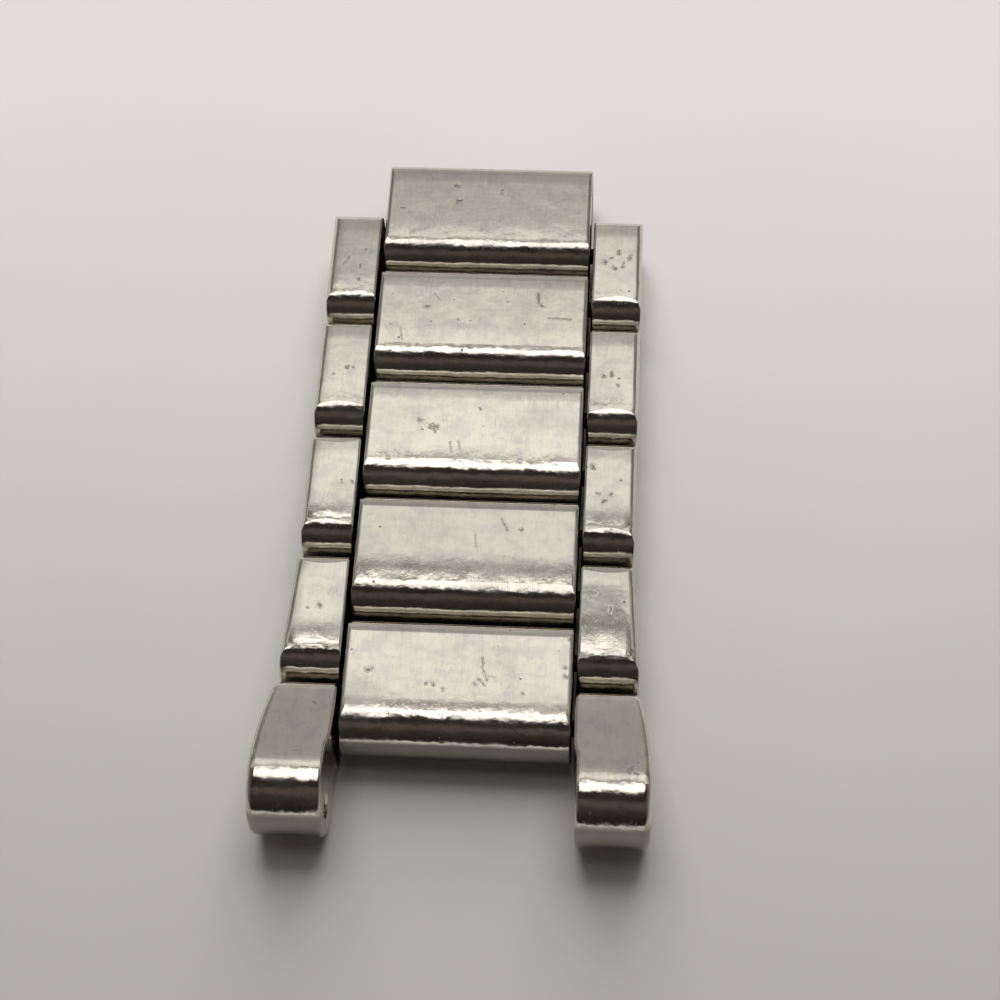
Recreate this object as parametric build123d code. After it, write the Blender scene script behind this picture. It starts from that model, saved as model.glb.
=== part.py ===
from build123d import *
import math
import os

# A case-end section of a steel watch bracelet: five wide centre links, four pairs of
# plain outer links set half a pitch along, one pair of flared end lugs, and the nine
# pins that hinge them.
# X runs across the bracelet, +Y runs away from the case and +Z is the side that is
# seen on the wrist. The origin is the middle of the bounding box, on the underside.
# All lengths are millimetres.

# Driving dimensions of the links
centre_link_count = 5
link_pitch = 8.15
link_thickness = 4.2
centre_width = 13.3
outer_width = 3.15
side_gap = 0.2
pin_to_far_face = 1.62
far_top_rounding = 0.9
far_bottom_rounding = 1.35
centre_side_rounding = 0.3
edge_break = 0.12

# Outer links: a slightly domed top with a broad outer edge and a fine inner one. The blank
# carries a trace of stock on its sides, which the last cut along the link takes off
outer_crown = 0.06
outer_crown_allowance = 0.015
outer_side_rounding = 0.42
inner_side_rounding = 0.2
outer_bottom_rounding = 0.3
outer_side_stock = 0.005

# The last plain outer pair widens towards the case
last_outer_flare = 0.5

# End lugs: plan outline, wedge towards the case and the round end
lug_swell = 0.8
lug_swell_length = 6.0
lug_end_radius = 2.88
lug_end_centre = 5.93
lug_outer_rounding = 0.45
lug_inner_rounding = 0.22
lug_relief = 0.2
lug_relief_start = 3.4
lug_relief_length = 1.2

# Bore in each lug for the bar that holds the bracelet to the case
bar_bore_diameter = 1.3
bar_bore_depth = 2.2
bar_bore_offset = 1.2
bar_bore_countersink = 0.15

# Hinge pins: pressed in the outer links, free to turn in the centre links
pin_diameter = 1.0
pin_running_clearance = 0.03
pin_end_recess = 0.12
pin_end_chamfer = 0.15

# One overrun for every cutting shape
cut_overrun = 0.5

# Worked out from the sizes above
pin_spacing = link_pitch / 2
nose_radius = link_thickness / 2
nose_centre = pin_to_far_face + pin_spacing
link_length = nose_centre + nose_radius
inner_face_x = centre_width / 2 + side_gap
outer_face_x = inner_face_x + outer_width
last_outer_face_x = outer_face_x + last_outer_flare
lug_face_x = last_outer_face_x + lug_swell
lug_length = lug_end_centre + lug_end_radius
lug_swell_radius = (lug_swell_length**2 + lug_swell**2) / (2 * lug_swell)
bar_bore_centre = lug_end_centre + bar_bore_offset
pin_bore_radius = pin_diameter / 2 + pin_running_clearance
overall_length = link_pitch * (centre_link_count - 1) + pin_spacing + lug_length
far_end_y = overall_length / 2

# A face belongs to a side when its normal is mostly along X
facing_share = 0.7


def centre_far_y(index):
    """Y of the far face of a centre link, counted from the free end."""
    return far_end_y - link_pitch * index


def outer_far_y(index):
    """Y of the far face of an outer link: half a pitch nearer the case."""
    return centre_far_y(index) - pin_spacing


def side_plane(mid_x, far_y):
    """Plane whose own X is the distance from the far face and whose own Y is height."""
    return Plane(origin=(mid_x, far_y, 0), x_dir=(0, -1, 0), z_dir=(-1, 0, 0))


def link_side_view(height):
    """Side outline of a plain link: flat faces and a full round nose."""
    flat_bottom = Line((0, 0), (nose_centre, 0))
    nose = ThreePointArc(
        (nose_centre, 0), (nose_centre + height / 2, height / 2), (nose_centre, height)
    )
    flat_top = Line((nose_centre, height), (0, height))
    far_face = Line((0, height), (0, 0))
    return round_far_corners(make_face([flat_bottom, nose, flat_top, far_face]))


def lug_side_view():
    """Side outline of an end lug: flat underside, top that climbs to a thick round end."""
    # The climbing top starts at the links' height and touches the round end
    rise = link_thickness - lug_end_radius
    reach = math.hypot(lug_end_centre, rise)
    climb = math.asin(lug_end_radius / reach) - math.atan2(rise, lug_end_centre)
    touch = (
        lug_end_centre - lug_end_radius * math.sin(climb),
        lug_end_radius + lug_end_radius * math.cos(climb),
    )
    flat_bottom = Line((0, 0), (lug_end_centre, 0))
    round_end = ThreePointArc((lug_end_centre, 0), (lug_length, lug_end_radius), touch)
    climbing_top = Line(touch, (0, link_thickness))
    far_face = Line((0, link_thickness), (0, 0))
    return round_far_corners(make_face([flat_bottom, round_end, climbing_top, far_face]))


def round_far_corners(outline):
    """Round the two corners of the far face."""
    far_corners = outline.vertices().sort_by(Axis.X)[:2].sort_by(Axis.Y)
    outline = fillet(far_corners[0], far_bottom_rounding)
    top_corner = outline.vertices().sort_by(Axis.X).filter_by(
        lambda vertex: vertex.Y > nose_radius
    )[0]
    return fillet(top_corner, far_top_rounding)


def side_rim(solid, sign):
    """Edges round the side that faces along X, without the seams inside that side."""
    faces = [face for face in solid.faces() if face.normal_at().X * sign > facing_share]
    edges = [edge for face in faces for edge in face.edges()]
    return [edge for edge in edges if edges.count(edge) == 1]


def across_bore(diameter, length, mid_x, y, z):
    """Cylinder along X, for a bore or a pin."""
    return Pos(mid_x, y, z) * Rot(0, 90, 0) * Cylinder(diameter / 2, length)


def cut_start_plane(far_y, height):
    """Plane across the bracelet just past a far face, for a cross-section run to the case."""
    return Plane(origin=(0, far_y + cut_overrun, height), x_dir=(1, 0, 0), z_dir=(0, -1, 0))


def centre_link(index):
    """Wide link with a running bore at each end."""
    far_y = centre_far_y(index)
    half_width = centre_width / 2
    link = extrude(side_plane(0, far_y) * link_side_view(link_thickness), half_width, both=True)
    link = fillet(side_rim(link, 1) + side_rim(link, -1), edge_break)
    section = RectangleRounded(centre_width, link_thickness, centre_side_rounding)
    bar_plane = cut_start_plane(far_y, nose_radius)
    link &= extrude(bar_plane * section, link_length + 2 * cut_overrun)
    bore_length = centre_width + 2 * cut_overrun
    for distance in (pin_to_far_face, nose_centre):
        link -= across_bore(2 * pin_bore_radius, bore_length, 0, far_y - distance, nose_radius)
    return link


def right_blank(side_view, far_y, plan):
    """Right-hand piece: the side view pushed out along X and trimmed to the plan outline."""
    reach = lug_face_x + cut_overrun
    profile = side_plane(reach / 2, far_y) * side_view
    slab = extrude(profile, reach / 2, both=True)
    tall = lug_end_radius * 2 + cut_overrun
    prism = extrude(Pos(0, far_y, -cut_overrun) * plan, tall + cut_overrun)
    return slab & prism


def outer_plan(flare):
    """Plan outline of a plain outer link's blank, from its far face towards the case."""
    run_in = cut_overrun
    run_out = link_length + cut_overrun
    slope = flare / link_length
    inner_x = inner_face_x - outer_side_stock
    outer_x = outer_face_x + outer_side_stock
    return make_face(
        Polyline(
            (inner_x, run_in),
            (outer_x - slope * run_in, run_in),
            (outer_x + slope * run_out, -run_out),
            (inner_x, -run_out),
            (inner_x, run_in),
        )
    )


def lug_plan():
    """Plan outline of an end lug: swelling outside, relieved inside past the last centre link."""
    run_in = cut_overrun
    run_out = lug_length + cut_overrun
    relieved_x = inner_face_x + lug_relief
    relief_end = lug_relief_start + lug_relief_length
    relief_middle = (inner_face_x + lug_relief / 2, -(lug_relief_start + relief_end) / 2)
    swell = CenterArc(
        (lug_face_x - lug_swell_radius, -lug_swell_length),
        lug_swell_radius,
        0,
        math.degrees(math.asin((lug_swell_length + run_in) / lug_swell_radius)),
    )
    beside_links = Polyline(swell @ 1, (inner_face_x, run_in), (inner_face_x, -lug_relief_start))
    away = TangentArc(beside_links @ 1, relief_middle, tangent=(0, -1))
    back = TangentArc((relieved_x, -relief_end), relief_middle, tangent=(0, 1))
    past_links = Polyline(
        (relieved_x, -relief_end),
        (relieved_x, -run_out),
        (lug_face_x, -run_out),
        swell @ 0,
    )
    return make_face([swell, beside_links, away, back, past_links])


def half_section(middle_x, side_x, top_rounding):
    """Half of an outer link's cross-section, from the crest of its domed top to one side."""
    shoulder = link_thickness - outer_crown
    outward = math.copysign(1, side_x - middle_x)
    dome = TangentArc((middle_x, link_thickness), (side_x, shoulder), tangent=(outward, 0))
    side = Line((side_x, shoulder), (side_x, 0))
    closing = Polyline((side_x, 0), (middle_x, 0), (middle_x, link_thickness))
    section = make_face([dome, side, closing])
    top_corner = section.vertices().sort_by_distance((side_x, shoulder))[0]
    section = fillet(top_corner, top_rounding)
    bottom_corner = section.vertices().sort_by_distance((side_x, 0))[0]
    return fillet(bottom_corner, outer_bottom_rounding)


def outer_bar(far_y, flare):
    """Bar with the outer links' cross-section, widening towards the case by the flare."""
    run = link_length + 2 * cut_overrun
    slope = flare / link_length
    spread = slope * run
    middle_x = (inner_face_x + outer_face_x) / 2
    start_side_x = outer_face_x - slope * cut_overrun
    start = cut_start_plane(far_y, 0)
    inner_half = start * half_section(middle_x, inner_face_x, inner_side_rounding)
    outer_half = start * half_section(middle_x, start_side_x, outer_side_rounding)
    # The outer half runs along the flare and a flat-topped wedge fills in behind it
    bar = extrude(inner_half, run)
    bar += extrude(outer_half, math.hypot(run, spread), dir=(spread, -run, 0))
    if flare:
        wedge = Polyline((0, 0), (spread, -run), (0, -run), (0, 0))
        start_corner = Pos(middle_x, far_y + cut_overrun, 0)
        bar += extrude(start_corner * make_face(wedge), link_thickness)
    return bar


def outer_link(index):
    """Right-hand outer link with a press bore at each end."""
    far_y = outer_far_y(index)
    is_last = index == centre_link_count - 2
    flare = last_outer_flare if is_last else 0
    side_view = link_side_view(link_thickness + outer_crown_allowance)
    link = right_blank(side_view, far_y, outer_plan(flare))
    link = fillet(side_rim(link, 1) + side_rim(link, -1), edge_break)
    link &= outer_bar(far_y, flare)
    for distance in (pin_to_far_face, nose_centre):
        link -= across_bore(pin_diameter, 2 * lug_face_x, 0, far_y - distance, nose_radius)
    return link


def end_lug():
    """Right-hand end lug with one press bore and the blind bore for the case bar."""
    far_y = outer_far_y(centre_link_count - 1)
    lug = right_blank(lug_side_view(), far_y, lug_plan())
    lug = fillet(side_rim(lug, 1), lug_outer_rounding)
    lug = fillet(side_rim(lug, -1), lug_inner_rounding)
    lug -= across_bore(pin_diameter, 2 * lug_face_x, 0, far_y - pin_to_far_face, nose_radius)
    mouth_x = inner_face_x + lug_relief
    bore_y = far_y - bar_bore_centre
    bore_length = bar_bore_depth + cut_overrun
    bore_mid_x = mouth_x + bar_bore_depth - bore_length / 2
    lug -= across_bore(bar_bore_diameter, bore_length, bore_mid_x, bore_y, lug_end_radius)
    sink_radius = bar_bore_diameter / 2 + bar_bore_countersink
    sink = Cone(sink_radius, bar_bore_diameter / 2, bar_bore_countersink)
    lug -= Pos(mouth_x + bar_bore_countersink / 2, bore_y, lug_end_radius) * Rot(0, 90, 0) * sink
    return lug


def outer_side_x(index, distance):
    """X of the outer side of an outer piece, at a distance from its far face."""
    if index < centre_link_count - 2:
        return outer_face_x
    if index == centre_link_count - 2:
        return outer_face_x + last_outer_flare * distance / link_length
    short_of_widest = lug_swell_length - distance
    drop = lug_swell_radius - math.sqrt(lug_swell_radius**2 - short_of_widest**2)
    return lug_face_x - drop


def hinge_pin(index, distance):
    """Pin of an outer pair, a little short of both outer sides."""
    length = 2 * (outer_side_x(index, distance) - pin_end_recess)
    pin = across_bore(pin_diameter, length, 0, outer_far_y(index) - distance, nose_radius)
    return chamfer(pin.edges().filter_by(GeomType.CIRCLE), pin_end_chamfer)


def build_parts():
    """Every piece under its own name."""
    parts = {}
    for index in range(centre_link_count):
        parts[f"centre_link_{index + 1}"] = centre_link(index)
    for index in range(centre_link_count - 1):
        right = outer_link(index)
        parts[f"outer_link_right_{index + 1}"] = right
        parts[f"outer_link_left_{index + 1}"] = mirror(right, Plane.YZ)
    lug = end_lug()
    parts["end_lug_right"] = lug
    parts["end_lug_left"] = mirror(lug, Plane.YZ)
    pin_number = 1
    for index in range(centre_link_count):
        is_lug = index == centre_link_count - 1
        for distance in (pin_to_far_face,) if is_lug else (pin_to_far_face, nose_centre):
            parts[f"hinge_pin_{pin_number}"] = hinge_pin(index, distance)
            pin_number += 1
    return parts


os.makedirs("parts", exist_ok=True)
for node, solid in build_parts().items():
    export_step(solid, f"parts/{node}.step")
    box = solid.bounding_box()
    print(node, f"volume {solid.volume:.2f}", "size", box.size)
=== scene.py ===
import math

import bpy
from bpy.props import FloatProperty, FloatVectorProperty, PointerProperty
from mathutils import Matrix, Vector


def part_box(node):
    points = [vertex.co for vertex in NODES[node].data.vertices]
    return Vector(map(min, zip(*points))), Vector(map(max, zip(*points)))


bl_info = {
    "name": "Worn steel bracelet section",
    "version": (1, 0, 0),
    "blender": (4, 5, 0),
    "location": "View3D > Sidebar > Bracelet",
    "description": "Finishes the links, lugs and pins of a steel watch bracelet and sets up its photo table",
    "category": "Object",
}

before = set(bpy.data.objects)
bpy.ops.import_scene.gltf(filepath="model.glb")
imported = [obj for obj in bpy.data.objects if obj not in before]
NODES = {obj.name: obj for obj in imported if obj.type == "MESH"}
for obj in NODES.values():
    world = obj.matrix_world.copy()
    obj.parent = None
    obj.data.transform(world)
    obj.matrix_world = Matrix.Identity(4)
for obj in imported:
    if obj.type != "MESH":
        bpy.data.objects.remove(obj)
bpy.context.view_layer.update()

MM = 0.001
TOP_Z = 4.2 * MM


# ---------------------------------------------------------------- settings


class SteelSettings(bpy.types.PropertyGroup):
    """Colours and wear of the polished steel."""

    light_colour: FloatVectorProperty(
        name="Clean steel",
        description="Reflection colour of clean polished steel",
        subtype="COLOR",
        size=3,
        min=0.0,
        max=1.0,
        default=(0.72, 0.685, 0.60),
    )
    dull_colour: FloatVectorProperty(
        name="Dull steel",
        description="Reflection colour where hands have dulled the polish",
        subtype="COLOR",
        size=3,
        min=0.0,
        max=1.0,
        default=(0.63, 0.60, 0.535),
    )
    # Colour of the grime and painted shade low in the grooves and gaps, and of the pits
    grime_and_shade_colour: FloatVectorProperty(
        name="Grime",
        description="Dried brown dirt in the grooves",
        subtype="COLOR",
        size=3,
        min=0.0,
        max=1.0,
        default=(0.05, 0.038, 0.028),
    )
    # Painted shade: the colour that darkens the free ends' noses low down, where they mirror the shaded
    # table in front
    painted_end_shade_colour: FloatVectorProperty(
        name="Film",
        description="Reflection colour of the thin grey film low on the free ends",
        subtype="COLOR",
        size=3,
        min=0.0,
        max=1.0,
        default=(0.16, 0.155, 0.14),
    )
    patch_colour: FloatVectorProperty(
        name="Patches",
        description="Reflection colour of the faint greyer patches",
        subtype="COLOR",
        size=3,
        min=0.0,
        max=1.0,
        default=(0.62, 0.575, 0.535),
    )
    scratch_colour: FloatVectorProperty(
        name="Scratches",
        description="Reflection colour of the bare metal in fresh scratches",
        subtype="COLOR",
        size=3,
        min=0.0,
        max=1.0,
        default=(0.9, 0.9, 0.88),
    )
    polish: FloatProperty(
        name="Roughness of the polish",
        description="Roughness of the cleanest parts of the steel",
        min=0.0,
        max=1.0,
        default=0.10,
    )
    dullness: FloatProperty(
        name="Roughness where dull",
        description="Roughness of the dullest parts of the steel",
        min=0.0,
        max=1.0,
        default=0.2,
    )
    wave_height: FloatProperty(
        name="Polish waves",
        description="Height of the soft waves that polishing by hand leaves",
        unit="LENGTH",
        default=0.012 * MM,
    )
    nose_wave_height: FloatProperty(
        name="Waves on the noses",
        description="Height of the waves where the round noses are knocked and worn",
        unit="LENGTH",
        default=0.04 * MM,
    )
    ripple_height: FloatProperty(
        name="Ripples",
        description="Height of the fine dents along the edge where the top turns into the nose",
        unit="LENGTH",
        default=0.004 * MM,
    )
    scratch_depth: FloatProperty(
        name="Scratch depth",
        description="Depth of the hairline scratches",
        unit="LENGTH",
        default=0.002 * MM,
    )
    pit_depth: FloatProperty(
        name="Pit depth",
        description="Depth of the small pits",
        unit="LENGTH",
        default=0.012 * MM,
    )


class StageSettings(bpy.types.PropertyGroup):
    """Floor, light and camera."""

    # Painted light falloff: the table is painted lighter far off and darker near the camera
    floor_far_lit_colour: FloatVectorProperty(
        name="Floor, far side",
        description="Colour of the table behind the bracelet",
        subtype="COLOR",
        size=3,
        min=0.0,
        max=1.0,
        default=(0.735, 0.715, 0.69),
    )
    floor_near_shaded_colour: FloatVectorProperty(
        name="Floor, near side",
        description="Colour of the table in front of the bracelet",
        subtype="COLOR",
        size=3,
        min=0.0,
        max=1.0,
        default=(0.46, 0.445, 0.43),
    )
    softbox_power: FloatProperty(
        name="Softbox power",
        description="Power of the wide lamp from the far side",
        unit="POWER",
        default=3.75,
    )
    lens: FloatProperty(
        name="Lens",
        description="Focal length on a 36 mm sensor",
        default=72.0,
    )
    camera_distance: FloatProperty(
        name="Camera distance",
        description="From the camera to its aim",
        unit="LENGTH",
        default=120.06 * MM,
    )
    camera_azimuth: FloatProperty(
        name="Camera azimuth",
        description="Turn of the view direction from +Y towards +X",
        subtype="ANGLE",
        default=math.radians(-7.0),
    )
    camera_elevation: FloatProperty(
        name="Camera elevation",
        description="Angle of the camera above the table",
        subtype="ANGLE",
        default=math.radians(63.06),
    )
    camera_roll: FloatProperty(
        name="Camera roll",
        description="Turn of the camera about its own view direction",
        subtype="ANGLE",
        default=math.radians(-4.38),
    )
    camera_aim: FloatVectorProperty(
        name="Camera aim",
        description="Point on the links' top that the camera looks at",
        subtype="XYZ",
        size=3,
        default=(1.85 * MM, -1.965 * MM, TOP_Z),
    )


# ---------------------------------------------------------------- node helpers


class Tree:
    """A short way to write node trees."""

    def __init__(self, tree):
        self.tree = tree
        tree.nodes.clear()

    def node(self, kind, **inputs):
        made = self.tree.nodes.new(kind)
        for key, value in inputs.items():
            self.feed(made.inputs[key.replace("_", " ")], value)
        return made

    def feed(self, socket, value):
        if isinstance(value, bpy.types.NodeSocket):
            self.tree.links.new(value, socket)
        else:
            socket.default_value = value

    def math(self, operation, *values, clamp=False):
        made = self.tree.nodes.new("ShaderNodeMath")
        made.operation = operation
        made.use_clamp = clamp
        for socket, value in zip(made.inputs, values):
            self.feed(socket, value)
        return made.outputs[0]

    def vector(self, operation, *values):
        made = self.tree.nodes.new("ShaderNodeVectorMath")
        made.operation = operation
        sockets = [socket for socket in made.inputs if socket.enabled]
        for socket, value in zip(sockets, values):
            self.feed(socket, value)
        return made.outputs["Value" if operation in ("DISTANCE", "DOT_PRODUCT") else "Vector"]

    def smooth_range(self, value, low, high, to_low=0.0, to_high=1.0):
        made = self.tree.nodes.new("ShaderNodeMapRange")
        made.interpolation_type = "SMOOTHSTEP"
        for key, given in (
            ("Value", value),
            ("From Min", low),
            ("From Max", high),
            ("To Min", to_low),
            ("To Max", to_high),
        ):
            self.feed(made.inputs[key], given)
        return made.outputs["Result"]

    def mix(self, share, first, second):
        made = self.tree.nodes.new("ShaderNodeMix")
        made.data_type = "RGBA"
        made.clamp_factor = True
        self.feed(made.inputs[0], share)
        self.feed(made.inputs[6], first)
        self.feed(made.inputs[7], second)
        return made.outputs[2]

    def noise(self, vector, scale, detail=2.0, roughness=0.5):
        made = self.tree.nodes.new("ShaderNodeTexNoise")
        self.feed(made.inputs["Vector"], vector)
        made.inputs["Scale"].default_value = scale
        made.inputs["Detail"].default_value = detail
        made.inputs["Roughness"].default_value = roughness
        return made.outputs["Fac"]

    def placed(self, vector, offset=(0, 0, 0), turn=(0, 0, 0), scale=(1, 1, 1)):
        made = self.tree.nodes.new("ShaderNodeMapping")
        self.feed(made.inputs["Vector"], vector)
        made.inputs["Location"].default_value = offset
        made.inputs["Rotation"].default_value = turn
        made.inputs["Scale"].default_value = scale
        return made.outputs["Vector"]


def rgba(colour):
    return (*colour, 1.0)


def new_material(name):
    material = bpy.data.materials.new(name)
    material.use_nodes = True
    return material, Tree(material.node_tree)


def in_millimetres(tree, coords):
    return tree.placed(coords, scale=(1 / MM, 1 / MM, 1 / MM))


def finish_steel(tree, colour, rough, relief):
    """Bare metal with its relief, as the material's output."""
    bump = tree.node("ShaderNodeBump", Strength=1.0, Distance=1.0, Height=relief)
    shader = tree.node("ShaderNodeBsdfPrincipled", Base_Color=colour, Roughness=rough, Metallic=1.0)
    tree.feed(shader.inputs["Normal"], bump.outputs["Normal"])
    output = tree.node("ShaderNodeOutputMaterial")
    tree.feed(output.inputs["Surface"], shader.outputs["BSDF"])


def set_material(node, material):
    slots = NODES[node].data.materials
    slots.clear()
    slots.append(material)


# ---------------------------------------------------------------- steel


class Finish:
    """How one piece differs from the next: its lie in the hinges, its wear and its own marks."""

    def __init__(
        self, seed, roll, roll_length, lie=0.0, painted_brightness=1.0, pits=0.25, groove=1.0, painted_end_shade=0.0, marks=()
    ):
        # Shifts the noise patterns, so that no two pieces look alike
        self.seed = seed
        # Lean of the top towards the case, in degrees
        self.lie = lie
        # How steeply wear rolls the top off before the round nose, in degrees, and over which
        # length, in millimetres
        self.roll = roll
        self.roll_length = roll_length
        # Painted brightness against the other pieces, standing in for how the light falls on each piece's
        # lie, and the share of pattern cells with a small pit
        self.painted_brightness = painted_brightness
        self.pits = pits
        # Grime and painted shade low in the groove before the next piece, or painted shade low on a free
        # end's nose
        self.groove = groove
        self.painted_end_shade = painted_end_shade
        # Each mark is a stroke on the top: start, end and width in millimetres
        self.marks = marks


CENTRE_LINKS = (
    Finish(
        3.1,
        roll=2.0,
        roll_length=1.2,
        painted_brightness=0.92,
        pits=0.1,
        marks=(
            (-2.3, 20.9, -2.1, 20.9, 0.16),
            (-2.1, 19.7, -1.9, 19.75, 0.13),
            (0.75, 20.7, 0.8, 20.4, 0.1),
            (6.45, 21.0, 6.5, 20.6, 0.12),
            (-5.7, 19.1, -5.5, 19.1, 0.1),
        ),
    ),
    Finish(
        8.2,
        roll=3.5,
        roll_length=1.2,
        pits=0.35,
        marks=(
            (-3.5, 11.6, -3.49, 11.6, 0.17),
            (-3.2, 10.5, -3.19, 10.5, 0.08),
            (-1.5, 10.7, -1.49, 10.7, 0.1),
            (-0.7, 10.6, -0.69, 10.6, 0.08),
            (-3.1, 12.6, -2.7, 12.1, 0.06),
            (3.5, 12.7, 3.55, 12.1, 0.12),
            (3.7, 11.9, 3.8, 11.8, 0.12),
            (4.2, 11.0, 5.6, 10.9, 0.09),
            (1.6, 12.1, 1.65, 12.1, 0.08),
            (-5.1, 10.0, -4.9, 9.1, 0.07),
        ),
    ),
    Finish(
        13.3,
        roll=5.5,
        roll_length=1.3,
        painted_brightness=1.09,
        pits=0.25,
        marks=(
            (-2.7, 2.95, -2.3, 2.9, 0.2),
            (-2.5, 3.1, -2.4, 2.6, 0.12),
            (-3.4, 3.4, -3.2, 3.3, 0.12),
            (0.3, 4.3, 0.35, 4.25, 0.1),
            (-1.4, 1.9, -1.3, 1.1, 0.08),
            (-0.9, 2.0, -0.8, 1.4, 0.06),
        ),
    ),
    Finish(
        18.4,
        lie=1.0,
        roll=5.6,
        roll_length=2.1,
        painted_brightness=0.90,
        pits=0.15,
        marks=(
            (2.0, -3.2, 2.4, -4.0, 0.07),
            (0.5, -4.3, 0.6, -5.1, 0.06),
            (3.2, -3.9, 3.25, -3.9, 0.12),
        ),
    ),
    Finish(
        23.5,
        roll=5.4,
        roll_length=0.8,
        painted_brightness=1.03,
        pits=0.5,
        groove=0.0,
        painted_end_shade=0.85,
        marks=(
            (6.4, -10.8, 6.45, -10.85, 0.12),
            (1.4, -12.2, 1.45, -12.9, 0.09),
            (1.45, -12.9, 1.75, -13.6, 0.09),
            (1.2, -13.5, 1.6, -13.9, 0.09),
            (1.7, -13.3, 2.2, -13.4, 0.06),
            (-5.2, -13.2, -5.1, -13.15, 0.16),
            (-1.8, -13.9, -1.7, -13.9, 0.12),
            (-1.4, -13.9, -1.3, -14.0, 0.1),
            (-0.8, -14.2, -0.75, -14.3, 0.1),
            (1.0, -13.8, 1.1, -13.9, 0.1),
            (3.8, -14.3, 3.85, -14.35, 0.1),
            (6.2, -13.2, 6.25, -13.2, 0.14),
            (6.2, -12.6, 6.2, -12.65, 0.12),
        ),
    ),
)

# Lengths in millimetres. The roll before a nose dies out over this length of the nose
ROLL_OUT = 0.45
# How far wear has lowered the top towards the far face, and over which length
FAR_ROLL = 0.05
FAR_ROLL_LENGTH = 1.6
# The same towards the outer side of an outer link, and the width of a plain one
SIDE_ROLL = 0.085
SIDE_ROLL_WIDTH = 0.8
OUTER_WIDTH = 3.15
# Distance from the middle plane at which the gap beside the centre links starts and ends
GAP_START = 6.645
GAP_END = 6.9

LEFT_OUTER_LINKS = (
    Finish(
        31.0,
        lie=-0.9,
        roll=1.5,
        roll_length=1.0,
        pits=0.3,
        marks=(
            (-7.8, 15.8, -7.75, 15.8, 0.11),
            (-9.1, 14.6, -8.8, 15.2, 0.1),
            (-8.0, 14.6, -8.0, 14.4, 0.11),
            (-8.0, 13.5, -7.95, 13.5, 0.12),
        ),
    ),
    Finish(
        36.0,
        roll=4.0,
        roll_length=1.4,
        pits=0.3,
        marks=(
            (-8.2, 7.0, -8.15, 7.0, 0.14),
            (-7.8, 7.0, -7.75, 6.95, 0.1),
            (-9.0, 6.5, -8.95, 6.5, 0.1),
        ),
    ),
    Finish(
        41.0,
        lie=0.6,
        roll=6.8,
        roll_length=1.5,
        pits=0.2,
        marks=((-7.8, -1.1, -7.75, -1.1, 0.1), (-7.2, -1.0, -7.1, -1.1, 0.1)),
    ),
    Finish(
        46.0,
        lie=0.3,
        roll=6.3,
        roll_length=1.5,
        pits=0.25,
        marks=((-8.4, -9.2, -8.35, -9.25, 0.16), (-9.1, -9.4, -9.05, -9.4, 0.09)),
    ),
)

RIGHT_OUTER_LINKS = (
    Finish(
        51.0,
        lie=1.1,
        roll=4.5,
        roll_length=1.5,
        pits=0.9,
        marks=(
            (8.5, 16.1, 8.5, 15.9, 0.14),
            (7.6, 15.3, 7.65, 15.25, 0.16),
            (9.2, 15.8, 9.2, 15.5, 0.12),
            (8.2, 14.9, 8.3, 14.8, 0.14),
            (8.0, 15.6, 8.1, 15.6, 0.1),
            (8.8, 15.3, 8.75, 14.9, 0.1),
        ),
    ),
    Finish(
        56.0,
        roll=5.5,
        roll_length=1.6,
        pits=0.5,
        marks=(
            (7.8, 6.9, 7.8, 6.85, 0.12),
            (8.3, 7.1, 8.3, 6.9, 0.12),
            (8.7, 6.3, 8.7, 6.2, 0.1),
        ),
    ),
    Finish(
        61.0,
        lie=0.3,
        roll=6.6,
        roll_length=1.8,
        painted_brightness=0.95,
        pits=0.5,
        marks=(
            (7.3, 0.6, 7.4, 0.4, 0.14),
            (7.7, -1.3, 7.75, -1.3, 0.12),
            (8.0, -1.9, 8.1, -1.8, 0.14),
            (8.5, -1.3, 8.5, -1.35, 0.1),
        ),
    ),
    Finish(
        66.0,
        lie=2.9,
        roll=3.9,
        roll_length=2.3,
        painted_brightness=0.9,
        pits=0.6,
        marks=((8.7, -8.7, 8.7, -9.0, 0.12), (7.8, -7.8, 7.8, -7.85, 0.12)),
    ),
)

LEFT_LUG = Finish(
    71.0,
    roll=4.0,
    roll_length=1.2,
    groove=0.0,
    painted_end_shade=0.7,
    pits=0.1,
    marks=(
        (-8.1, -15.4, -8.0, -15.5, 0.16),
        (-10.9, -18.8, -10.9, -18.75, 0.1),
        (-8.7, -18.7, -8.65, -18.7, 0.1),
    ),
)
RIGHT_LUG = Finish(
    76.0,
    roll=2.0,
    roll_length=1.2,
    groove=0.0,
    painted_end_shade=0.7,
    pits=0.1,
    marks=(
        (10.0, -19.2, 10.15, -19.0, 0.22),
        (10.5, -18.6, 10.5, -18.75, 0.12),
        (10.3, -19.3, 10.45, -19.4, 0.12),
    ),
)


def hairlines(tree, place, turn, across, along, width, seed):
    """Thin broken scratches that run one way: stretched noise cut to its middle value."""
    offset = (seed, seed * 0.7, seed * 1.3)
    stretched = tree.placed(place, offset, (0, 0, turn), (across, along, 1.0))
    field = tree.noise(stretched, 1.0, 1.0, 0.4)
    off_middle = tree.math("ABSOLUTE", tree.math("SUBTRACT", field, 0.5))
    line = tree.smooth_range(off_middle, 0.0, width, 1.0, 0.0)
    patches = tree.noise(tree.placed(place, (seed * 2.1, 0, 0)), 0.6, 1.0)
    return tree.math("MULTIPLY", line, tree.smooth_range(patches, 0.52, 0.64))


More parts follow.
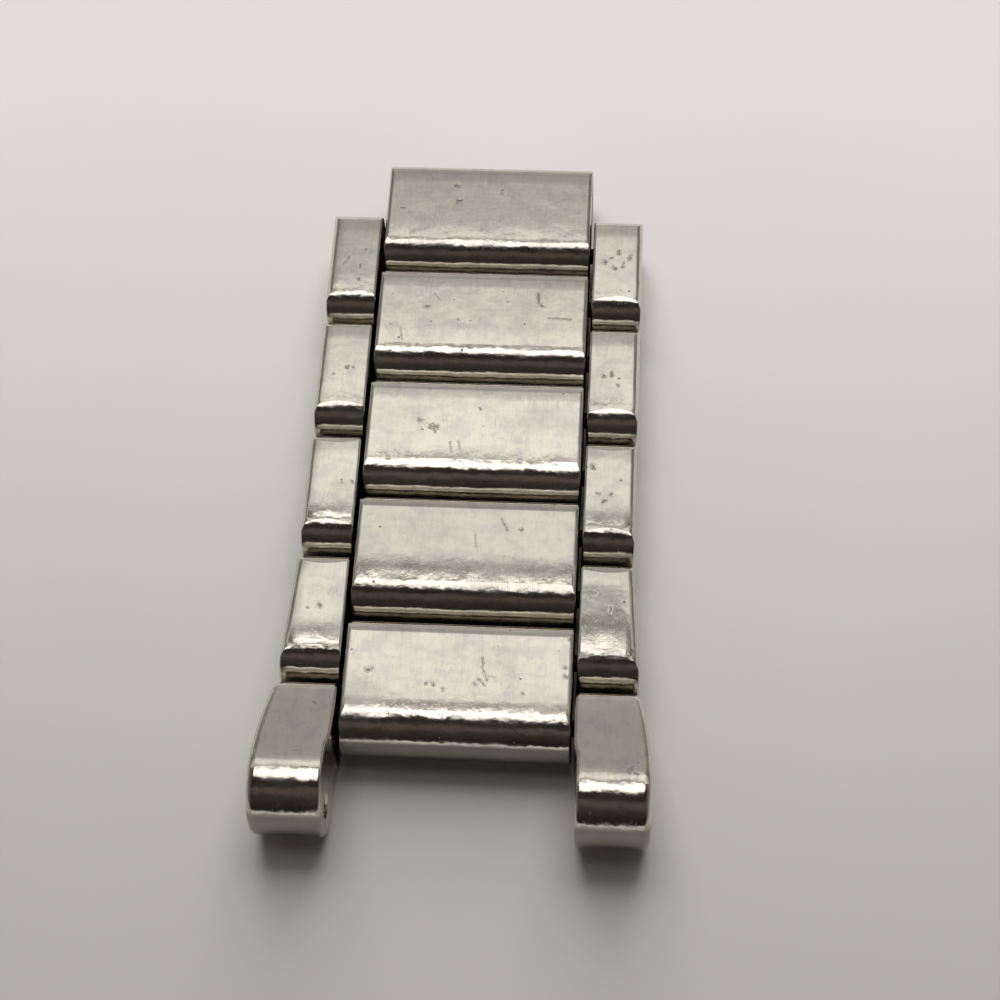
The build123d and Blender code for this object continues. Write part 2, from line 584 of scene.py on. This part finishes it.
def stroke(tree, place, ragged, start_x, start_y, end_x, end_y, width):
    """One pit or scratch at its place on the top, with a ragged rim. Thin ones are fainter."""
    way = Vector((end_x - start_x, end_y - start_y, 0))
    flat = tree.vector("MULTIPLY", place, (1, 1, 0))
    from_start = tree.vector("SUBTRACT", flat, (start_x, start_y, 0))
    along = tree.vector("DOT_PRODUCT", from_start, way)
    share = tree.math("DIVIDE", along, way.length_squared, clamp=True)
    nearest = tree.vector("SCALE", way, share)
    reach = tree.vector("DISTANCE", from_start, nearest)
    rim = tree.math("MULTIPLY_ADD", ragged, width * 4.0, reach)
    return tree.smooth_range(rim, -0.4 * width, 1.5 * width, min(width / 0.13, 1.0), 0.0)


def scattered_pits(tree, shifted, ragged, share):
    """Small pits in some of the cells of a pattern, each of its own size."""
    cell_density = 1.3
    cells = tree.node("ShaderNodeTexVoronoi", Vector=shifted)
    cells.inputs["Scale"].default_value = cell_density
    reach = tree.math("DIVIDE", cells.outputs["Distance"], cell_density)
    chance = tree.node("ShaderNodeSeparateXYZ", Vector=cells.outputs["Color"])
    radius = tree.math("MULTIPLY_ADD", chance.outputs["Y"], 0.08, 0.035)
    chosen = tree.math("LESS_THAN", chance.outputs["X"], share)
    rim = tree.math("DIVIDE", tree.math("MULTIPLY_ADD", ragged, 0.12, reach), radius)
    return tree.math("MULTIPLY", tree.smooth_range(rim, 0.2, 1.0, 1.0, 0.0), chosen)


def worn_steel(name, steel, finish, node):
    """Polished steel, dulled in patches, with waves, scratches, pits, grime and painted shade in the
    grooves, painted shade in the gaps and low on the free ends, and a painted brightness for the whole
    piece.
    """
    seed = finish.seed
    material, tree = new_material(name)
    given = tree.node("ShaderNodeTexCoord")
    coords = given.outputs["Object"]
    facing = tree.node("ShaderNodeSeparateXYZ", Vector=given.outputs["Normal"])
    # Zero on the side faces, one on all others
    off_side = tree.smooth_range(tree.math("ABSOLUTE", facing.outputs["X"]), 0.9, 0.6)
    # From here on one unit is a millimetre
    place = in_millimetres(tree, coords)
    shifted = tree.placed(place, (seed, seed * 0.37, 0))
    split = tree.node("ShaderNodeSeparateXYZ", Vector=place)
    height = split.outputs["Z"]
    aside = tree.math("ABSOLUTE", split.outputs["X"])

    low, high = (Vector(corner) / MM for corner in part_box(node))
    radius = (high.z - low.z) / 2
    middle = (low.z + high.z) / 2
    # Distance from the piece's far face, and where its round nose starts
    distance = tree.math("SUBTRACT", high.y, split.outputs["Y"])
    nose_start = high.y - low.y - radius
    on_nose = tree.smooth_range(distance, nose_start - 0.8, nose_start + 0.2)
    near_edge = tree.math(
        "MULTIPLY",
        tree.smooth_range(distance, nose_start - finish.roll_length - 0.6, nose_start - 0.3),
        tree.smooth_range(distance, nose_start + 0.9, nose_start + 0.3),
    )
    on_top = tree.smooth_range(height, 3.0, 3.5)

    # Wear
    blotches = tree.noise(shifted, 0.42, 4.0, 0.62)
    smears = tree.noise(tree.placed(shifted, (7, 3, 0), (0, 0, 0.5), (0.6, 2.2, 1)), 0.7, 5.0, 0.6)
    dull = tree.smooth_range(blotches, 0.42, 0.68)
    smeared = tree.smooth_range(smears, 0.45, 0.7)
    worn = tree.math("MULTIPLY_ADD", smeared, 0.45, tree.math("MULTIPLY", dull, 0.7), clamp=True)
    patches = tree.smooth_range(tree.noise(tree.placed(shifted, (3, 9, 0)), 0.75, 2.0, 0.7), 0.5, 0.62)
    grain = tree.noise(tree.placed(shifted, (1, 4, 0), (0, 0, 0), (6.0, 0.6, 1.0)), 1.0, 3.0, 0.6)

    scratches = tree.math(
        "MAXIMUM",
        hairlines(tree, place, 0.25, 5.0, 0.45, 0.008, seed + 1),
        hairlines(tree, place, -0.9, 5.0, 0.40, 0.008, seed + 2),
    )

    ragged = tree.math("SUBTRACT", tree.noise(shifted, 7.0, 3.0, 0.6), 0.5)
    pits = scattered_pits(tree, shifted, ragged, finish.pits)
    for mark in finish.marks:
        pits = tree.math("MAXIMUM", pits, stroke(tree, place, ragged, *mark))
    pits = tree.math("MULTIPLY", pits, on_top)

    # Grime and painted shade darken the steel low in the grooves, and painted shade darkens the gaps beside
    # the centre links
    crust = tree.smooth_range(tree.noise(shifted, 2.6, 5.0, 0.65), 0.36, 0.62)
    far_grime_and_shade = tree.math(
        "MULTIPLY", tree.smooth_range(distance, 0.6, 0.2), tree.smooth_range(height, 3.2, 2.2)
    )
    nose_grime_and_shade = tree.math(
        "MULTIPLY",
        tree.smooth_range(distance, nose_start + 1.0, nose_start + 1.3),
        tree.smooth_range(height, 2.15, 1.8, 0.0, finish.groove),
    )
    low_grime_and_shade = tree.math("MULTIPLY", tree.math("MAXIMUM", far_grime_and_shade, nose_grime_and_shade), off_side)
    groove_grime_and_shade = tree.math("MULTIPLY", low_grime_and_shade, tree.math("MULTIPLY_ADD", crust, 0.16, 0.8))
    # Painted shade low on a free end's nose, darkening its reflection of the table
    painted_end_shade = tree.math(
        "MULTIPLY",
        tree.smooth_range(distance, nose_start + 0.65 * radius, nose_start + 0.75 * radius),
        tree.smooth_range(height, middle + 0.62 * radius, middle + 0.5 * radius, 0.0, finish.painted_end_shade),
    )
    # Painted shade on the faces that look into the gaps beside the centre links
    in_gap = tree.math(
        "MULTIPLY",
        tree.smooth_range(aside, GAP_START - 0.065, GAP_START),
        tree.smooth_range(aside, GAP_END + 0.05, GAP_END),
    )
    gap_shade = tree.math("MULTIPLY", in_gap, tree.smooth_range(height, 4.0, 3.8))
    grime_and_shade = tree.math("MAXIMUM", groove_grime_and_shade, gap_shade)

    colour = tree.mix(tree.math("MULTIPLY", worn, 0.8), rgba(steel.light_colour), rgba(steel.dull_colour))
    colour = tree.mix(tree.math("MULTIPLY", patches, 0.7), colour, rgba(steel.patch_colour))
    streak = tree.smooth_range(grain, 0.35, 0.65, 0.975, 1.01)
    # Painted brightness of the whole piece, standing in for how the light falls on its lie
    colour = tree.vector("SCALE", colour, tree.math("MULTIPLY", streak, finish.painted_brightness))
    colour = tree.mix(tree.math("MULTIPLY", scratches, 0.25), colour, rgba(steel.scratch_colour))
    colour = tree.mix(tree.math("MULTIPLY", pits, 0.42), colour, rgba(steel.grime_and_shade_colour))
    # Painted shade low on the free ends
    colour = tree.mix(painted_end_shade, colour, rgba(steel.painted_end_shade_colour))
    # Grime and painted shade in the grooves, painted shade in the gaps
    colour = tree.mix(grime_and_shade, colour, rgba(steel.grime_and_shade_colour))

    rough = tree.math("MULTIPLY_ADD", worn, steel.dullness - steel.polish, steel.polish)
    rough = tree.math("MULTIPLY_ADD", scratches, 0.1, rough)
    rough = tree.math("MULTIPLY_ADD", grime_and_shade, 0.4, rough)
    rough = tree.math("MULTIPLY_ADD", pits, 0.4, rough, clamp=True)

    waves = tree.math("SUBTRACT", tree.noise(tree.placed(shifted, (11, 2, 0)), 0.9, 2.5, 0.5), 0.5)
    wave_height = tree.math("MULTIPLY_ADD", on_nose, steel.nose_wave_height, steel.wave_height)
    ripples = tree.math("SUBTRACT", tree.noise(shifted, 7.0, 4.0, 0.62), 0.5)
    ripple_height = tree.math("MULTIPLY_ADD", near_edge, steel.ripple_height, steel.ripple_height * 0.12)
    # The roll steepens evenly up to the nose and dies out over the nose's first part
    past_start = tree.math("SUBTRACT", distance, nose_start - finish.roll_length)
    before = tree.math("DIVIDE", past_start, finish.roll_length, clamp=True)
    after = tree.math("DIVIDE", tree.math("SUBTRACT", distance, nose_start), ROLL_OUT, clamp=True)
    roll_before = tree.math("MULTIPLY", tree.math("MULTIPLY", before, before), finish.roll_length / 2)
    roll_after = tree.math("MULTIPLY", tree.math("MULTIPLY_ADD", after, -0.5, 1.0), after)
    rolled = tree.math("MULTIPLY_ADD", roll_after, ROLL_OUT, roll_before)
    far_rolled = tree.smooth_range(distance, 0.1, FAR_ROLL_LENGTH)
    relief = tree.math("MULTIPLY", waves, wave_height)
    relief = tree.math("MULTIPLY_ADD", far_rolled, FAR_ROLL * MM, relief)
    relief = tree.math("MULTIPLY_ADD", ripples, ripple_height, relief)
    relief = tree.math("MULTIPLY_ADD", scratches, -steel.scratch_depth, relief)
    relief = tree.math("MULTIPLY_ADD", pits, -steel.pit_depth, relief)
    relief = tree.math("MULTIPLY_ADD", rolled, -math.tan(math.radians(finish.roll)) * MM, relief)
    if node.startswith("outer_link"):
        # The outer side follows the flare of the last pair
        flare = (high.x - low.x - OUTER_WIDTH) / (high.y - low.y)
        start_side = min(abs(low.x), abs(high.x)) + OUTER_WIDTH
        side = tree.math("MULTIPLY_ADD", distance, flare, start_side - SIDE_ROLL_WIDTH)
        past = tree.math("DIVIDE", tree.math("SUBTRACT", aside, side), SIDE_ROLL_WIDTH, clamp=True)
        fading = tree.smooth_range(distance, nose_start + 0.7, nose_start + 0.2)
        side_rolled = tree.math("MULTIPLY", tree.math("MULTIPLY", past, past), fading)
        relief = tree.math("MULTIPLY_ADD", side_rolled, -SIDE_ROLL * MM, relief)
    relief = tree.math("MULTIPLY_ADD", distance, -math.tan(math.radians(finish.lie)) * MM, relief)
    finish_steel(tree, colour, rough, relief)
    return material


def dress(node, title, finish, context):
    """Give a CAD piece its own worn steel."""
    set_material(node, worn_steel(title, context.scene.bracelet_steel, finish, node))


class BRACELET_OT_centre_links(bpy.types.Operator):
    """Worn polished steel for the wide links in the middle"""

    bl_idname = "bracelet.centre_links"
    bl_label = "Centre links"

    def execute(self, context):
        for number, finish in enumerate(CENTRE_LINKS, 1):
            dress(f"centre_link_{number}", f"Centre link {number} steel", finish, context)
        return {"FINISHED"}


class BRACELET_OT_outer_links(bpy.types.Operator):
    """More pitted steel for the outer links on both sides"""

    bl_idname = "bracelet.outer_links"
    bl_label = "Outer links"

    def execute(self, context):
        for side, finishes in (("left", LEFT_OUTER_LINKS), ("right", RIGHT_OUTER_LINKS)):
            for number, finish in enumerate(finishes, 1):
                title = f"Outer link {side} {number} steel"
                dress(f"outer_link_{side}_{number}", title, finish, context)
        return {"FINISHED"}


class BRACELET_OT_end_lugs(bpy.types.Operator):
    """Smoother steel for the two end lugs"""

    bl_idname = "bracelet.end_lugs"
    bl_label = "End lugs"

    def execute(self, context):
        dress("end_lug_left", "End lug left steel", LEFT_LUG, context)
        dress("end_lug_right", "End lug right steel", RIGHT_LUG, context)
        return {"FINISHED"}


def pin_steel(steel):
    """Ground steel with painted shade where a pin shows in the gaps beside the centre links."""
    material, tree = new_material("Hinge pin steel")
    coords = tree.node("ShaderNodeTexCoord").outputs["Object"]
    place = in_millimetres(tree, coords)
    aside = tree.math("ABSOLUTE", tree.node("ShaderNodeSeparateXYZ", Vector=place).outputs["X"])
    # Painted shade where the pin shows in the gaps
    pin_gap_shade = tree.math("MULTIPLY", tree.smooth_range(aside, 7.3, 7.1), 0.95)
    turned = tree.noise(tree.placed(place, scale=(18.0, 1.0, 1.0)), 1.0, 3.0)
    cloudy = tree.noise(place, 2.0, 3.0)
    colour = tree.mix(cloudy, rgba(steel.light_colour), rgba(steel.dull_colour))
    colour = tree.mix(pin_gap_shade, colour, rgba(steel.grime_and_shade_colour))
    rough = tree.math("MULTIPLY_ADD", pin_gap_shade, 0.4, tree.math("MULTIPLY_ADD", cloudy, 0.15, 0.2))
    finish_steel(tree, colour, rough, tree.math("MULTIPLY", turned, steel.scratch_depth * 0.5))
    return material


class BRACELET_OT_hinge_pins(bpy.types.Operator):
    """Ground steel for the pins"""

    bl_idname = "bracelet.hinge_pins"
    bl_label = "Hinge pins"

    def execute(self, context):
        material = pin_steel(context.scene.bracelet_steel)
        for node in sorted(NODES):
            if node.startswith("hinge_pin"):
                set_material(node, material)
        return {"FINISHED"}


# ---------------------------------------------------------------- stage


def table_material(stage):
    material, tree = new_material("Pale table")
    coords = tree.node("ShaderNodeTexCoord").outputs["Object"]
    along = tree.node("ShaderNodeSeparateXYZ", Vector=coords).outputs["Y"]
    # Painted shade: the table's colour darkens from the far side towards the near side, where the light
    # falls off
    lit_share = tree.smooth_range(along, -45 * MM, 40 * MM)
    cloudy = tree.noise(coords, 60.0, 3.0)
    share = tree.math("MULTIPLY_ADD", tree.math("SUBTRACT", cloudy, 0.5), 0.12, lit_share, clamp=True)
    colour = tree.mix(share, rgba(stage.floor_near_shaded_colour), rgba(stage.floor_far_lit_colour))
    shader = tree.node("ShaderNodeBsdfPrincipled", Base_Color=colour, Roughness=0.55)
    shader.inputs["Specular IOR Level"].default_value = 0.25
    output = tree.node("ShaderNodeOutputMaterial")
    tree.feed(output.inputs["Surface"], shader.outputs["BSDF"])
    return material


# Brightness of the room by the angle over the table, from the near side round to the far side
ROOM = (
    (0, 0.62),
    (6.5, 0.60),
    (8.5, 0.010),
    (15, 0.015),
    (22, 0.022),
    (32, 0.036),
    (42, 0.044),
    (48, 0.068),
    (53, 0.096),
    (60, 0.100),
    (65, 0.062),
    (68, 0.036),
    (72, 0.026),
    (88, 0.026),
    (92, 0.16),
    (104, 0.25),
    (107.5, 0.30),
    (109.5, 1.08),
    (119.5, 1.08),
    (121.5, 0.97),
    (123, 0.80),
    (124.5, 0.66),
    (126, 0.57),
    (128, 0.51),
    (132, 0.45),
    (143, 0.39),
    (150, 0.45),
    (162, 0.50),
    (180, 0.50),
)
# The bright panel overhead: the angles at which it starts and ends, half the width of those
# edges, its brightness and the sideways part of the direction of its middle
PANEL_START = 86.0
PANEL_END = 102.0
PANEL_EDGE = 1.2
PANEL_BRIGHTNESS = 1.7
PANEL_MIDDLE = -0.06
# Brightness that the near side gains towards its corners
NEAR_CORNERS = 0.1
# Plain brightness of the room's left and right ends, where its bands would meet
PLAIN_ENDS = 0.22
# Tints of the room's dark and bright parts, and of the lamp
DARK_TINT = (1.0, 0.83, 0.72)
BRIGHT_TINT = (1.0, 0.985, 0.96)

TABLE_SIZE = 4.0
# The table lies this far below the links, so that no faces coincide
TABLE_GAP = 0.01 * MM

# The lamp's size and its distance from the bracelet in metres, and its lean from overhead
LAMP_WIDTH = 0.42
LAMP_LENGTH = 0.64
LAMP_DISTANCE = 0.55
LAMP_TILT = math.radians(45)


def build_room():
    """World light: a dark near side, a bright panel and ceiling overhead, a grey far wall."""
    world = bpy.data.worlds.new("Room")
    bpy.context.scene.world = world
    world.use_nodes = True
    tree = Tree(world.node_tree)
    way = tree.node("ShaderNodeTexCoord").outputs["Generated"]
    split = tree.node("ShaderNodeSeparateXYZ", Vector=way)
    x, y, z = split.outputs[0], split.outputs[1], split.outputs[2]
    angle = tree.math("ARCTAN2", z, tree.math("MULTIPLY", y, -1.0))
    share = tree.math("DIVIDE", angle, math.pi, clamp=True)
    ramp = tree.node("ShaderNodeValToRGB", Fac=share)
    elements = ramp.color_ramp.elements
    top = max(level for _, level in ROOM)
    for at, (degrees, level) in enumerate(ROOM):
        if at == 0:
            element = elements[0]
        elif at == len(ROOM) - 1:
            element = elements[-1]
        else:
            element = elements.new(degrees / 180)
        element.position = degrees / 180
        element.color = (level / top, level / top, level / top, 1)
    aside = tree.math("ABSOLUTE", x)
    panel_aside = tree.math("ABSOLUTE", tree.math("SUBTRACT", x, PANEL_MIDDLE))
    narrowing = tree.smooth_range(aside, 0.18, 0.6, 1.0, 0.5)
    walls = tree.math("MULTIPLY", tree.math("MULTIPLY", ramp.outputs["Color"], top), narrowing)
    degrees = tree.math("MULTIPLY", share, 180.0)
    panel = tree.math(
        "MULTIPLY",
        tree.smooth_range(degrees, PANEL_START - PANEL_EDGE, PANEL_START + PANEL_EDGE),
        tree.smooth_range(degrees, PANEL_END + PANEL_EDGE, PANEL_END - PANEL_EDGE),
    )
    panel = tree.math("MULTIPLY", panel, tree.smooth_range(panel_aside, 0.27, 0.17))
    near_corners = tree.math(
        "MULTIPLY",
        tree.smooth_range(aside, 0.4, 0.75, 0.0, NEAR_CORNERS),
        tree.smooth_range(degrees, 100, 80),
    )
    walls = tree.math("ADD", walls, near_corners)
    ends = tree.smooth_range(aside, 0.8, 0.97)
    walls = tree.math("MULTIPLY_ADD", ends, tree.math("SUBTRACT", PLAIN_ENDS, walls), walls)
    strength = tree.math("MULTIPLY_ADD", panel, PANEL_BRIGHTNESS, walls)
    bright = tree.smooth_range(strength, 0.04, 0.35)
    tint = tree.mix(bright, rgba(DARK_TINT), rgba(BRIGHT_TINT))
    lit = tree.node("ShaderNodeBackground", Color=tint, Strength=strength)
    output = tree.node("ShaderNodeOutputWorld")
    tree.feed(output.inputs["Surface"], lit.outputs[0])


def build_camera(stage):
    """The photograph's camera, from its angles and the point that it looks at."""
    azimuth, elevation, roll = stage.camera_azimuth, stage.camera_elevation, stage.camera_roll
    ahead = Vector(
        (
            math.sin(azimuth) * math.cos(elevation),
            math.cos(azimuth) * math.cos(elevation),
            -math.sin(elevation),
        )
    )
    level = Vector((math.cos(azimuth), -math.sin(azimuth), 0))
    upright = level.cross(ahead)
    right = level * math.cos(roll) + upright * math.sin(roll)
    up = upright * math.cos(roll) - level * math.sin(roll)
    data = bpy.data.cameras.new("Photo camera")
    data.sensor_width = 36.0
    data.lens = stage.lens
    data.clip_start = 0.005
    data.clip_end = 20.0
    camera = bpy.data.objects.new("Photo camera", data)
    spot = Vector(stage.camera_aim) - ahead * stage.camera_distance
    turned = Matrix((right, up, -ahead)).transposed().to_4x4()
    camera.matrix_world = Matrix.Translation(spot) @ turned
    bpy.context.scene.collection.objects.link(camera)
    bpy.context.scene.camera = camera


def build_softbox(stage):
    """Wide lamp from the far side. It lights the table, and the metal mirrors the room alone."""
    data = bpy.data.lights.new("Softbox", "AREA")
    data.shape = "RECTANGLE"
    data.size = LAMP_WIDTH
    data.size_y = LAMP_LENGTH
    data.energy = stage.softbox_power
    data.color = BRIGHT_TINT
    lamp = bpy.data.objects.new("Softbox", data)
    lamp.location = (0, math.sin(LAMP_TILT) * LAMP_DISTANCE, math.cos(LAMP_TILT) * LAMP_DISTANCE)
    lamp.rotation_euler = (-LAMP_TILT, 0, 0)
    lamp.visible_camera = False
    lamp.visible_glossy = False
    bpy.context.scene.collection.objects.link(lamp)


class BRACELET_OT_stage(bpy.types.Operator):
    """Table, room light, softbox and the camera at the photograph's angle"""

    bl_idname = "bracelet.stage"
    bl_label = "Stage"

    def execute(self, context):
        stage = context.scene.bracelet_stage
        bpy.ops.mesh.primitive_plane_add(size=TABLE_SIZE, location=(0, 0, -TABLE_GAP))
        table = context.active_object
        table.name = "Table"
        table.data.materials.append(table_material(stage))
        build_room()
        build_softbox(stage)
        build_camera(stage)
        context.scene.view_settings.view_transform = "Standard"
        return {"FINISHED"}


class BRACELET_PT_panel(bpy.types.Panel):
    """Steps and settings of the bracelet"""

    bl_label = "Bracelet"
    bl_idname = "BRACELET_PT_panel"
    bl_space_type = "VIEW_3D"
    bl_region_type = "UI"
    bl_category = "Bracelet"

    def draw(self, context):
        for step in STEPS:
            self.layout.operator(step.bl_idname)
        for settings in (context.scene.bracelet_steel, context.scene.bracelet_stage):
            box = self.layout.box()
            for key in settings.bl_rna.properties.keys():
                if key not in ("rna_type", "name"):
                    box.prop(settings, key)


STEPS = (
    BRACELET_OT_stage,
    BRACELET_OT_centre_links,
    BRACELET_OT_outer_links,
    BRACELET_OT_end_lugs,
    BRACELET_OT_hinge_pins,
)
CLASSES = (SteelSettings, StageSettings, *STEPS, BRACELET_PT_panel)


def register():
    for cls in CLASSES:
        bpy.utils.register_class(cls)
    bpy.types.Scene.bracelet_steel = PointerProperty(type=SteelSettings)
    bpy.types.Scene.bracelet_stage = PointerProperty(type=StageSettings)


def unregister():
    del bpy.types.Scene.bracelet_steel
    del bpy.types.Scene.bracelet_stage
    for cls in reversed(CLASSES):
        bpy.utils.unregister_class(cls)


def main():
    register()
    bpy.ops.bracelet.stage()
    bpy.ops.bracelet.centre_links()
    bpy.ops.bracelet.outer_links()
    bpy.ops.bracelet.end_lugs()
    bpy.ops.bracelet.hinge_pins()


if __name__ == "__main__":
    main()
